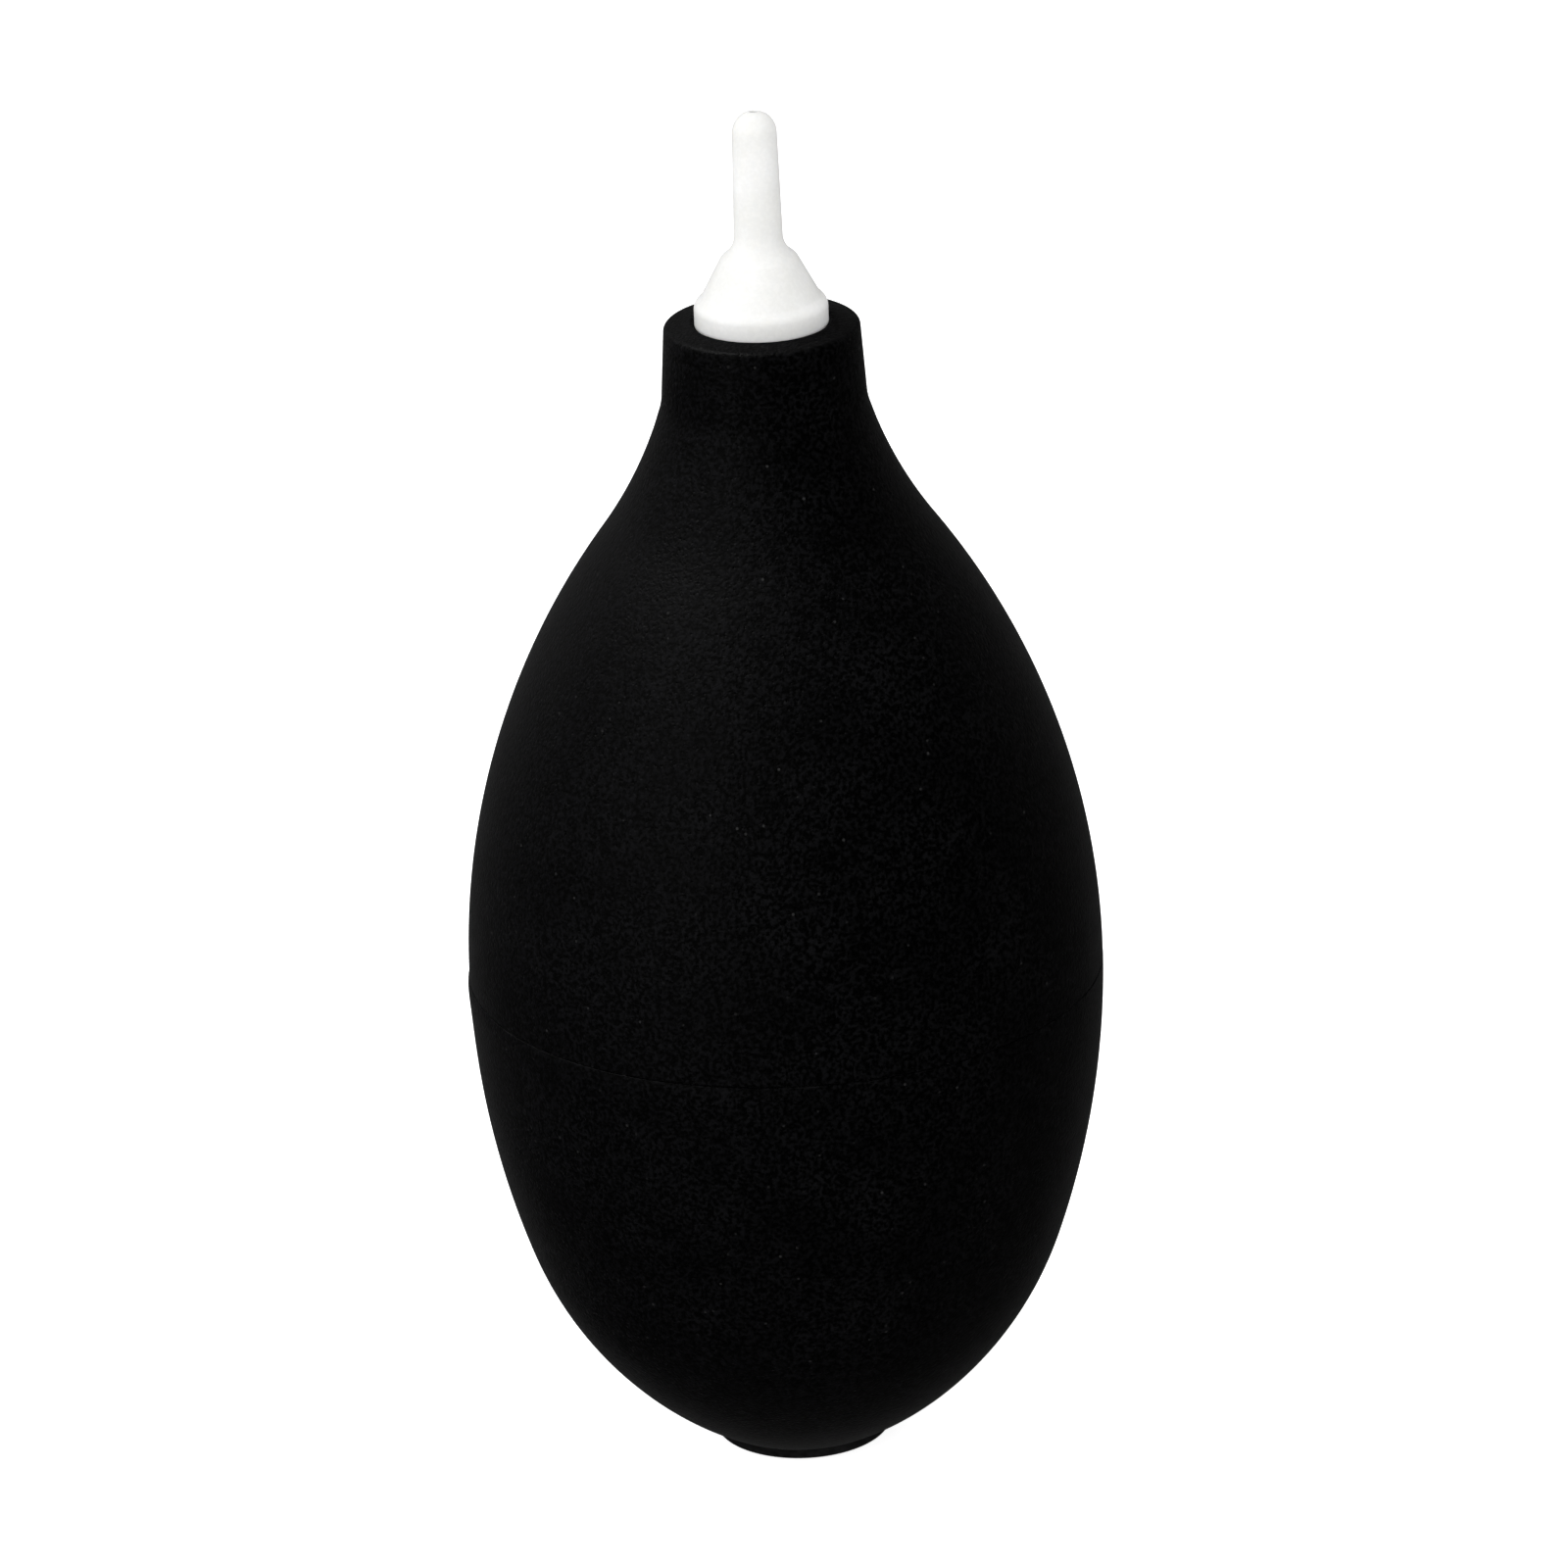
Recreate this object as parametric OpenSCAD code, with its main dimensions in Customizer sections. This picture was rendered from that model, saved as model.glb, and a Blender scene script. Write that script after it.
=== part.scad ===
// Dust blower bulb for watch work: a two-half rubber bulb that stands on the flange of
// its inlet valve, with a plastic nozzle pushed into the neck.
// The axis is Z. The origin is the middle of the flange's underside.

/* [Bulb] */
// Largest diameter of the upper half, at the seam
bulb_d = 50; // [40:0.5:62]
// Height of the seam above the surface the bulb stands on
seam_z = 40.5; // [33:0.5:50]
// Height from the seam to the corner where the shoulder meets the neck
shoulder_h = 46.7; // [38:0.1:57]
// Wall thickness of the rubber
wall = 2.2; // [1.6:0.1:3]
// How far the lower half stands proud of the upper one, all round
seam_step = 0.08; // [0:0.02:0.3]
// Height of the thicker band on each side of the seam, where the halves are bonded
seam_land_h = 3; // [1:0.5:6]
// Extra wall thickness of that band
seam_land_t = 0.8; // [0.2:0.1:1.5]

/* [Shoulder and foot curves] */
// Radius of the hollow curve that runs from the shoulder into the neck
shoulder_arc_r = 35; // [24:1:42]
// Lean of that curve from upright where it meets the neck
shoulder_lean = 16.5; // [8:0.5:28]
// How far below level the side's outward direction points at the foot
foot_lean = 59; // [48:0.5:68]
// Diameter of the rubber at the foot
foot_d = 15.3; // [14.6:0.1:19]

/* [Neck] */
// Height of the neck
neck_h = 6.2; // [4:0.1:10]
// Diameter of the neck at its rim
rim_d = 15.1; // [13.4:0.1:19]
// Diameter of the neck where it meets the shoulder
neck_base_d = 15.9; // [14:0.1:20]
// Rounding of the rim's outer edge
rim_round = 0.6; // [0.2:0.1:0.9]
// Diameter of the bore that holds the nozzle
neck_bore_d = 10.5; // [8.8:0.1:12.6]
// Depth of that bore from the rim
neck_bore_depth = 11; // [9:0.1:14]

/* [Nozzle] */
// Radial gap between the neck bore and the nozzle's collar
collar_gap = 0.1; // [0.05:0.01:0.2]
// Radial gap between the neck bore and the nozzle's grip rings
grip_gap = 0.05; // [0.02:0.01:0.1]
// Height of the collar above the rim
collar_h = 2.1; // [1:0.1:4]
// Depth of the collar below the rim
collar_depth = 1.6; // [0.8:0.1:2.4]
// Rounding of the collar's top edge, at most the width of the step
collar_round = 0.45; // [0.1:0.05:0.8]
// Width of the step between the collar and the cone
collar_step = 0.5; // [0.1:0.05:1]
// Height of the cone, from the collar to the shoulder
cone_h = 3.5; // [2.5:0.1:6]
// Diameter of the cone's shoulder
cone_top_d = 5.7; // [5:0.1:6.6]
// Rounding of the cone's shoulder
cone_round = 0.5; // [0.2:0.05:0.7]
// Diameter of the tube where it leaves the shoulder
tube_base_d = 3.66; // [3:0.02:4.2]
// Diameter of the tube at its round tip
tube_tip_d = 3.3; // [2.4:0.02:3.6]
// Length of the tube above the shoulder, with its tip
tube_l = 11.4; // [8:0.1:20]
// Radius of the fillet at the foot of the tube, at most the width of the ledge there
tube_fillet = 0.5; // [0.2:0.05:0.9]
// Diameter of the air bore
air_bore_d = 1; // [0.6:0.05:1.6]
// Length of the plug below the rim
plug_l = 9.5; // [8:0.1:12]
// How far the grip rings stand out of the plug
grip_out = 0.35; // [0.1:0.05:0.6]
// Number of grip rings on the plug
grip_count = 3; // [1:1:4]
// Height of one grip ring
grip_h = 1; // [0.6:0.1:1.2]
// Wall of the plug, without its grip rings
plug_wall = 1.65; // [1:0.05:2.4]

/* [Inlet valve] */
// Diameter of the flange that the bulb stands on
flange_d = 14.1; // [13:0.1:16]
// Thickness of that flange
flange_t = 1; // [0.7:0.1:2]
// Rounding of the flange's lower edge
flange_round = 0.3; // [0.1:0.05:0.45]
// Thickness of the rubber block that grips the valve
block_t = 4; // [3:0.1:6]
// Wall of the valve's barrel around its cage
barrel_wall = 0.6; // [0.4:0.05:1.5]
// Radial gap between the barrel and the rubber
barrel_gap = 0.02; // [0.01:0.01:0.05]
// How far the snap rib stands out of the barrel
rib_out = 0.7; // [0.3:0.1:1.2]
// Height of the snap rib
rib_h = 1; // [0.6:0.1:1.6]
// Diameter of the chamber that the valve disc moves in
chamber_d = 7.2; // [6:0.1:9]
// Diameter of the inlet opening in the underside
inlet_d = 6; // [5:0.1:7.4]
// Depth of the inlet opening
inlet_depth = 2.5; // [1.6:0.1:3]
// Thickness of the floor between the inlet and the chamber
floor_t = 1.5; // [0.8:0.1:2.5]
// Diameter of the air port through that floor
port_d = 3.4; // [2:0.1:3.8]
// Height of the seat ring above the floor
seat_h = 0.3; // [0.2:0.05:0.6]
// Width of the seat ring
seat_w = 0.4; // [0.3:0.05:0.6]
// Thickness of the rubber valve disc
disc_t = 0.6; // [0.4:0.05:1]
// Radial gap between the disc and the chamber
disc_gap = 0.35; // [0.2:0.05:0.5]
// How far the disc can lift
disc_lift = 0.8; // [0.4:0.1:1.4]
// Height of the cage above the disc
cage_h = 1.5; // [1:0.1:2.5]
// Width of the cage's step in the barrel
cage_step = 0.4; // [0.2:0.05:0.5]
// Radial gap between the cage and the barrel
cage_gap = 0.03; // [0.01:0.01:0.1]
// Width of the cage's ring
cage_ring_w = 1; // [0.6:0.1:1.4]
// Width of one cage bar
cage_bar_w = 0.8; // [0.5:0.1:1.2]
// Number of cage bars across the middle
cage_bars = 2; // [1:1:3]
// Height of the barrel above the cage
barrel_lip = 0.3; // [0:0.1:1]
// Thickness of the dust screen
screen_t = 0.3; // [0.2:0.05:0.5]
// Radial gap between the dust screen and the inlet opening
screen_gap = 0.03; // [0.01:0.01:0.1]
// Diameter of one hole in the screen
screen_hole_d = 0.5; // [0.3:0.05:0.7]
// Distance between the screen's holes
screen_pitch = 0.85; // [0.8:0.05:1.2]

/* [Hidden] */
$fn = 180;
eps = 0.01;

// heights along the axis
shoulder_z = seam_z + shoulder_h;
rim_z = shoulder_z + neck_h;
block_z = flange_t + block_t;
seat_z = inlet_depth + floor_t + seat_h;
cage_z = seat_z + disc_t + disc_lift;
barrel_z = cage_z + cage_h + barrel_lip;
collar_z = rim_z + collar_h;
ledge_z = collar_z + cone_h;
tip_z = ledge_z + tube_l;

// The lower half's side is two arcs that meet smoothly: the belly, upright at the seam, and
// the foot curve, which ends at the foot with its lean. The side's tangent reaches equally
// far from both ends to the tangent at the join, and the join is halfway between.
bulb_r = bulb_d / 2;
seam_p = [bulb_r, seam_z];
foot_p = [foot_d / 2, flange_t];
foot_out = [cos(foot_lean), -sin(foot_lean)];
foot_dir = [-sin(foot_lean), -cos(foot_lean)];
down = [0, -1];
span = foot_p - seam_p;
run = span * (down + foot_dir);
bend = 2 * (1 - down * foot_dir);
reach = (sqrt(run ^ 2 + bend * (span * span)) - run) / bend;
join_p = (seam_p + reach * down + foot_p - reach * foot_dir) / 2;
foot_arc_r = (join_p - foot_p) * (join_p - foot_p) / (2 * (foot_p - join_p) * foot_out);
foot_c = foot_p - foot_arc_r * foot_out;
belly_r = (join_p - seam_p) * (join_p - seam_p) / (2 * (bulb_r - join_p.x));
belly_c = [bulb_r - belly_r, seam_z];
join_dir = (join_p - belly_c) / belly_r;

// The upper half's side is two arcs as well: the throat, hollow, ends at the neck with its
// radius and lean, and the crown starts upright at the seam and touches it.
throat_c = [neck_base_d / 2, shoulder_z] + shoulder_arc_r * [cos(shoulder_lean), sin(shoulder_lean)];
crown_r = ((throat_c.x - bulb_r) ^ 2 + (throat_c.y - seam_z) ^ 2 - shoulder_arc_r ^ 2)
    / (2 * (shoulder_arc_r - throat_c.x + bulb_r));
crown_c = [bulb_r - crown_r, seam_z];
crown_dir = (throat_c - crown_c) / norm(throat_c - crown_c);

// what fits into what
collar_r = neck_bore_d / 2 - collar_gap;
grip_r = neck_bore_d / 2 - grip_gap;
plug_r = grip_r - grip_out;
plug_hollow_r = plug_r - plug_wall;
cone_base_r = collar_r - collar_step;
collar_edge_r = min(collar_round, collar_step);
tube_foot_r = min(tube_fillet, (cone_top_d - tube_base_d) / 2 - cone_round);
tip_r = tube_tip_d / 2;
grip_pitch = (plug_l - collar_depth) / grip_count;
disc_r = chamber_d / 2 - disc_gap;
cage_seat_r = chamber_d / 2 + cage_step;
cage_r = cage_seat_r - cage_gap;
barrel_r = cage_seat_r + barrel_wall;
screen_r = inlet_d / 2 - screen_gap;
screen_rings = floor((screen_r - screen_hole_d) / screen_pitch);

// a strip of the half plane right of the axis, between two heights
module strip(z0, z1, width = bulb_d) {
    translate([0, z0]) square([width, z1 - z0]);
}

// the lower half's outline, moved inwards by inset
module lower_outline(inset) {
    join_z = join_p.y - inset * join_dir.y;
    intersection() {
        strip(flange_t, join_z);
        translate(foot_c) circle(r = foot_arc_r - inset);
    }
    intersection() {
        strip(join_z, seam_z);
        translate(belly_c) circle(r = belly_r - inset);
    }
}

// the upper half's outline below the neck, moved inwards by inset
module upper_outline(inset) {
    join_z = crown_c.y + (crown_r - inset) * crown_dir.y;
    intersection() {
        strip(seam_z, join_z);
        translate(crown_c) circle(r = crown_r - inset);
    }
    difference() {
        strip(join_z, shoulder_z, throat_c.x);
        translate(throat_c) circle(r = shoulder_arc_r + inset);
    }
}

module neck_outline() {
    round_z = rim_z - rim_round;
    polygon([
        [0, shoulder_z],
        [neck_base_d / 2, shoulder_z],
        [rim_d / 2, round_z],
        [0, round_z]
    ]);
    strip(round_z, rim_z, rim_d / 2 - rim_round);
    translate([rim_d / 2 - rim_round, round_z]) circle(r = rim_round);
}

module upper_shell() {
    land_z = seam_z + seam_land_h;
    bore_z = rim_z - neck_bore_depth;
    color("#1c1c1d") rotate_extrude() difference() {
        union() {
            upper_outline(0);
            neck_outline();
        }
        intersection() {
            upper_outline(wall + seam_land_t);
            strip(seam_z - eps, land_z);
        }
        intersection() {
            upper_outline(wall);
            strip(land_z, bore_z);
        }
        strip(bore_z - eps, rim_z + eps, neck_bore_d / 2);
    }
}

module lower_shell() {
    land_z = seam_z - seam_land_h;
    color("#171718") rotate_extrude() difference() {
        lower_outline(-seam_step);
        intersection() {
            lower_outline(wall + seam_land_t);
            strip(land_z, seam_z + eps);
        }
        intersection() {
            lower_outline(wall);
            strip(block_z, land_z);
        }
        strip(0, block_z + eps, barrel_r + barrel_gap);
    }
}

// one grip ring: flat below, sloping in above, so that it slides in and holds
module grip_ring(z) {
    polygon([
        [plug_hollow_r, z],
        [plug_r, z],
        [grip_r, z + grip_h / 2],
        [grip_r, z + grip_h],
        [plug_hollow_r, z + grip_h]
    ]);
}

// collar with a rounded top edge
module collar_outline() {
    round_z = collar_z - collar_edge_r;
    strip(rim_z - collar_depth, round_z, collar_r);
    strip(round_z, collar_z, collar_r - collar_edge_r);
    translate([collar_r - collar_edge_r, round_z]) circle(r = collar_edge_r);
}

// cone with a rounded shoulder, up to the ledge that the tube stands on
module cone_outline() {
    round_z = ledge_z - cone_round;
    polygon([
        [0, collar_z - eps],
        [cone_base_r, collar_z - eps],
        [cone_top_d / 2, round_z],
        [0, round_z]
    ]);
    strip(round_z, ledge_z, cone_top_d / 2 - cone_round);
    translate([cone_top_d / 2 - cone_round, round_z]) circle(r = cone_round);
}

// tapered tube with a fillet at its foot and a round tip
module tube_outline() {
    polygon([
        [0, ledge_z - eps],
        [tube_base_d / 2, ledge_z - eps],
        [tip_r, tip_z - tip_r],
        [0, tip_z - tip_r]
    ]);
    intersection() {
        strip(tip_z - tip_r, tip_z);
        translate([0, tip_z - tip_r]) circle(r = tip_r);
    }
    difference() {
        strip(ledge_z - eps, ledge_z + tube_foot_r, tube_base_d / 2 + tube_foot_r);
        translate([tube_base_d / 2 + tube_foot_r, ledge_z + tube_foot_r]) circle(r = tube_foot_r);
    }
}

module nozzle() {
    plug_z = rim_z - plug_l;
    color("#f2f1ec") rotate_extrude() difference() {
        union() {
            strip(plug_z, rim_z, plug_r);
            for (i = [0:grip_count - 1]) grip_ring(plug_z + i * grip_pitch);
            collar_outline();
            cone_outline();
            tube_outline();
        }
        strip(plug_z - eps, rim_z, plug_hollow_r);
        polygon([
            [0, rim_z - eps],
            [plug_hollow_r, rim_z - eps],
            [air_bore_d / 2, ledge_z - cone_round],
            [0, ledge_z - cone_round]
        ]);
        strip(rim_z, tip_z + eps, air_bore_d / 2);
    }
}

module flange_outline() {
    strip(0, flange_round, flange_d / 2 - flange_round);
    strip(flange_round, flange_t, flange_d / 2);
    translate([flange_d / 2 - flange_round, flange_round]) circle(r = flange_round);
}

module valve_housing() {
    color("#232325") rotate_extrude() difference() {
        union() {
            flange_outline();
            strip(0, barrel_z, barrel_r);
            polygon([
                [0, block_z],
                [barrel_r + rib_out, block_z],
                [barrel_r, block_z + rib_h],
                [0, block_z + rib_h]
            ]);
        }
        strip(-eps, inlet_depth, inlet_d / 2);
        strip(0, seat_z + eps, port_d / 2);
        difference() {
            strip(seat_z - seat_h, cage_z + eps, chamber_d / 2);
            strip(seat_z - seat_h - eps, seat_z, port_d / 2 + seat_w);
        }
        strip(cage_z, barrel_z + eps, cage_seat_r);
    }
}

module inlet_screen() {
    color("#8d8f92") translate([0, 0, inlet_depth - screen_t]) difference() {
        cylinder(h = screen_t, r = screen_r);
        for (ring = [0:screen_rings], i = [0:max(0, 6 * ring - 1)])
            rotate(ring == 0 ? 0 : 60 * i / ring)
                translate([ring * screen_pitch, 0, -eps])
                    cylinder(h = screen_t + 2 * eps, d = screen_hole_d, $fn = 24);
    }
}

module valve_disc() {
    color("#3a3a3c") translate([0, 0, seat_z]) cylinder(h = disc_t, r = disc_r);
}

module valve_cage() {
    color("#c9c9c4") translate([0, 0, cage_z]) {
        difference() {
            cylinder(h = cage_h, r = cage_r);
            translate([0, 0, -eps]) cylinder(h = cage_h + 2 * eps, r = cage_r - cage_ring_w);
        }
        for (i = [0:cage_bars - 1])
            rotate(180 * i / cage_bars)
                translate([-cage_r + cage_ring_w / 2, -cage_bar_w / 2, 0])
                    cube([2 * cage_r - cage_ring_w, cage_bar_w, cage_h]);
    }
}

upper_shell();
lower_shell();
nozzle();
valve_housing();
inlet_screen();
valve_disc();
valve_cage();
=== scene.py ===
import math

import bpy
import numpy as np
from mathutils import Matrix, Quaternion, Vector


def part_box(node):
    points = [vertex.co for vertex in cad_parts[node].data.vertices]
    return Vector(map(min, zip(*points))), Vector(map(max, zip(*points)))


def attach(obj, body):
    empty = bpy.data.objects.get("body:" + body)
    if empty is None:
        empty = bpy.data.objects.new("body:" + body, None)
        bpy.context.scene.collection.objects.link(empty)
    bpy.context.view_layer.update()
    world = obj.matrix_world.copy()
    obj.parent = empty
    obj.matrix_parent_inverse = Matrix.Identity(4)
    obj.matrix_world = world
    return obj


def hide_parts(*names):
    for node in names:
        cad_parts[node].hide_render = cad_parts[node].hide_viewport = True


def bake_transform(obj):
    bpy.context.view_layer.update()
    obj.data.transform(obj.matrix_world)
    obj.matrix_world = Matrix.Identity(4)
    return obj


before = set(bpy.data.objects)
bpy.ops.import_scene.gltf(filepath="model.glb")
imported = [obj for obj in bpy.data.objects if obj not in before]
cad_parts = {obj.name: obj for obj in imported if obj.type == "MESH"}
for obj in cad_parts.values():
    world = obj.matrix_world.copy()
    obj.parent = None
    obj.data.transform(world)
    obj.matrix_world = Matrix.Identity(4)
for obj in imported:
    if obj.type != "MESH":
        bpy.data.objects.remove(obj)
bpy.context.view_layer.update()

# Dust blower bulb: two bonded rubber halves, a pushed-in nozzle and an inlet valve in the foot.
# Metres throughout. The bulb's axis is Z and it stands on Z = 0.

mm = 0.001

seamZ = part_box("upper_shell")[0].z
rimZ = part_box("upper_shell")[1].z
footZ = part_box("lower_shell")[0].z
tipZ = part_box("nozzle")[1].z
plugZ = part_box("nozzle")[0].z


# outlines are closed loops of (radius, height) points, turned about the axis by spin;
# a rounded corner has bendPoints, and points closer together than samePoint are made one
outlines = {"bendPoints": 9, "samePoint": 1e-8}


def arcTo(centre, radius, startDeg, endDeg, step):
    # points on a circle: centre + radius * (cos a, sin a), with a going from start to end,
    # about one step apart; the third number of each point is its rounding, none here
    count = max(3, 1 + math.ceil(radius * math.radians(abs(endDeg - startDeg)) / step))
    a = np.radians(np.linspace(startDeg, endDeg, count))
    return np.stack([
        centre[0] + radius * np.cos(a), centre[1] + radius * np.sin(a), np.zeros(count)
    ], 1)


def cornered(corners, step):
    # Closed outline through corners of (radius, height, rounding). Each rounded corner is cut
    # by an arc that touches both its sides: its centre lies on the line that halves the
    # corner, rounding / sin(half angle) away. Straight stretches get a point every step.
    corners = np.concatenate([np.atleast_2d(c) for c in corners])
    back = np.roll(corners, 1, 0)[:, :2] - corners[:, :2]
    ahead = np.roll(corners, -1, 0)[:, :2] - corners[:, :2]
    back /= np.linalg.norm(back, axis=1)[:, None]
    ahead /= np.linalg.norm(ahead, axis=1)[:, None]
    half = 0.5 * np.arccos(np.clip((back * ahead).sum(1), -1, 1))
    bends = []
    for corner, toBack, toAhead, halfAngle in zip(corners, back, ahead, half):
        spot, rounding = corner[:2], corner[2]
        if rounding == 0:
            bends.append(spot[None])
            continue
        middle = (toBack + toAhead) / np.linalg.norm(toBack + toAhead)
        centre = spot + middle * rounding / math.sin(halfAngle)
        first = spot + toBack * rounding / math.tan(halfAngle) - centre
        last = spot + toAhead * rounding / math.tan(halfAngle) - centre
        turn = math.pi - 2 * halfAngle
        t = np.linspace(0, turn, outlines["bendPoints"])[:, None]
        bends.append(centre + (np.sin(turn - t) * first + np.sin(t) * last) / math.sin(turn))
    parts = []
    for bend, following in zip(bends, bends[1:] + bends[:1]):
        count = max(2, 1 + math.ceil(np.linalg.norm(following[0] - bend[-1]) / step))
        t = np.linspace(0, 1, count)[:, None]
        parts += [bend, bend[-1] * (1 - t) + following[0] * t]
    points = np.concatenate(parts)
    gap = np.linalg.norm(points - np.roll(points, 1, 0), axis=1)
    return points[gap > outlines["samePoint"]]


def spin(name, outline, around, relief=None):
    # surface of revolution of a closed outline that stays off the axis: the point (u, v) is
    # outline(u) turned by the angle v about Z. relief(angle, height, outwards, radius) moves
    # each point along the outline's own normal; outwards is that normal's part away from Z.
    ahead = np.roll(outline, -1, 0) - np.roll(outline, 1, 0)
    normal = np.stack([ahead[:, 1], -ahead[:, 0]], 1)
    normal /= np.linalg.norm(normal, axis=1)[:, None]
    r, z = outline[:, 0], outline[:, 1]
    if (r * np.roll(z, -1) - np.roll(r, -1) * z).sum() < 0:    # outline runs clockwise
        outline, normal = outline[::-1], -normal[::-1]
    angle = np.linspace(0, 2 * math.pi, around, endpoint=False)
    r = np.repeat(outline[:, 0:1], around, 1)
    z = np.repeat(outline[:, 1:2], around, 1)
    if relief is not None:
        push = relief(angle[None, :], z, np.repeat(normal[:, 0:1], around, 1), r)
        r, z = r + push * normal[:, 0:1], z + push * normal[:, 1:2]
    verts = np.stack([r * np.cos(angle), r * np.sin(angle), z], 2).reshape(-1, 3)
    rows, cols = len(outline), around
    i, j = np.meshgrid(np.arange(rows), np.arange(cols), indexing="ij")
    nextRow, nextCol = (i + 1) % rows, (j + 1) % cols
    quads = np.stack([
        i * cols + j, i * cols + nextCol, nextRow * cols + nextCol, nextRow * cols + j
    ], 2).reshape(-1, 4)
    mesh = bpy.data.meshes.new(name)
    mesh.from_pydata(verts, [], quads)
    mesh.polygons.foreach_set("use_smooth", np.ones(len(quads), bool))
    mesh.update()
    piece = bpy.data.objects.new(name, mesh)
    bpy.context.scene.collection.objects.link(piece)
    return piece


def nodeGroup(name, inputs, outputs):
    group = bpy.data.node_groups.new(name, "ShaderNodeTree")
    for label, kind, value in inputs:
        made = group.interface.new_socket(label, in_out="INPUT", socket_type=kind)
        if value is not None:
            made.default_value = value
    for label, kind in outputs:
        group.interface.new_socket(label, in_out="OUTPUT", socket_type=kind)
    return group, group.nodes.new("NodeGroupInput"), group.nodes.new("NodeGroupOutput")


def add(tree, kind, **values):
    # a node with its settings: plain names are the node's own, in_X sets its input X
    node = tree.nodes.new(kind)
    for key, value in values.items():
        if key.startswith("in_"):
            found = key[3:]
            node.inputs[int(found) if found.isdigit() else found].default_value = value
        else:
            setattr(node, key, value)
    return node


mottle = {
    "grainDetail": 1.5, "cloudDetail": 4.0, "noiseRoughness": 0.55, "pitWidth": 0.35,
    "pitDepth": 0.5,
}


def makeMottleGroup():
    # cloudy patches and fine grain: a height for bump, and two values that vary about 0.5
    group, given, made = nodeGroup(
        "mottle",
        [("Vector", "NodeSocketVector", None), ("Grain Scale", "NodeSocketFloat", 2600.0),
         ("Cloud Scale", "NodeSocketFloat", 220.0)],
        [("Height", "NodeSocketFloat"), ("Cloud", "NodeSocketFloat"), ("Grain", "NodeSocketFloat")],
    )
    link = group.links.new
    grain = add(
        group, "ShaderNodeTexNoise", in_Detail=mottle["grainDetail"],
        in_Roughness=mottle["noiseRoughness"]
    )
    cloud = add(
        group, "ShaderNodeTexNoise", in_Detail=mottle["cloudDetail"],
        in_Roughness=mottle["noiseRoughness"]
    )
    pits = add(group, "ShaderNodeTexVoronoi", feature="F1")
    link(given.outputs["Vector"], grain.inputs["Vector"])
    link(given.outputs["Vector"], cloud.inputs["Vector"])
    link(given.outputs["Vector"], pits.inputs["Vector"])
    link(given.outputs["Grain Scale"], grain.inputs["Scale"])
    link(given.outputs["Cloud Scale"], cloud.inputs["Scale"])
    link(given.outputs["Grain Scale"], pits.inputs["Scale"])
    pitHeight = add(
        group, "ShaderNodeMapRange", in_1=0.0, in_2=mottle["pitWidth"],
        in_3=-mottle["pitDepth"], in_4=0.0
    )
    link(pits.outputs["Distance"], pitHeight.inputs["Value"])
    height = add(group, "ShaderNodeMath", operation="ADD")
    link(grain.outputs["Fac"], height.inputs[0])
    link(pitHeight.outputs["Result"], height.inputs[1])
    link(height.outputs[0], made.inputs["Height"])
    link(cloud.outputs["Fac"], made.inputs["Cloud"])
    link(grain.outputs["Fac"], made.inputs["Grain"])
    return group


def makeSpeckGroup():
    # sparse round specks: cells of a Voronoi pattern, most of them left out by chance
    group, given, made = nodeGroup(
        "specks",
        [("Vector", "NodeSocketVector", None), ("Scale", "NodeSocketFloat", 500.0),
         ("Share", "NodeSocketFloat", 0.05), ("Size", "NodeSocketFloat", 0.12)],
        [("Mask", "NodeSocketFloat")],
    )
    link = group.links.new
    cells = add(group, "ShaderNodeTexVoronoi", feature="F1")
    link(given.outputs["Vector"], cells.inputs["Vector"])
    link(given.outputs["Scale"], cells.inputs["Scale"])
    small = add(group, "ShaderNodeMath", operation="LESS_THAN")
    link(cells.outputs["Distance"], small.inputs[0])
    link(given.outputs["Size"], small.inputs[1])
    chance = add(group, "ShaderNodeSeparateColor")
    link(cells.outputs["Color"], chance.inputs[0])
    kept = add(group, "ShaderNodeMath", operation="LESS_THAN")
    link(chance.outputs[0], kept.inputs[0])
    link(given.outputs["Share"], kept.inputs[1])
    both = add(group, "ShaderNodeMath", operation="MULTIPLY")
    link(small.outputs[0], both.inputs[0])
    link(kept.outputs[0], both.inputs[1])
    faint = add(group, "ShaderNodeMath", operation="MULTIPLY")    # some paler than others
    link(both.outputs[0], faint.inputs[0])
    link(chance.outputs[1], faint.inputs[1])
    link(faint.outputs[0], made.inputs["Mask"])
    return group


# the seam's flash: how far under the seam it lies, how wide it is and how it breaks up
flash = {
    "drop": 0.02 * mm, "width": 0.09 * mm, "scale": 380.0, "detail": 2.0, "tornFrom": 0.54,
    "tornTo": 0.66, "tone": (0.006, 0.006, 0.006),
}


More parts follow.
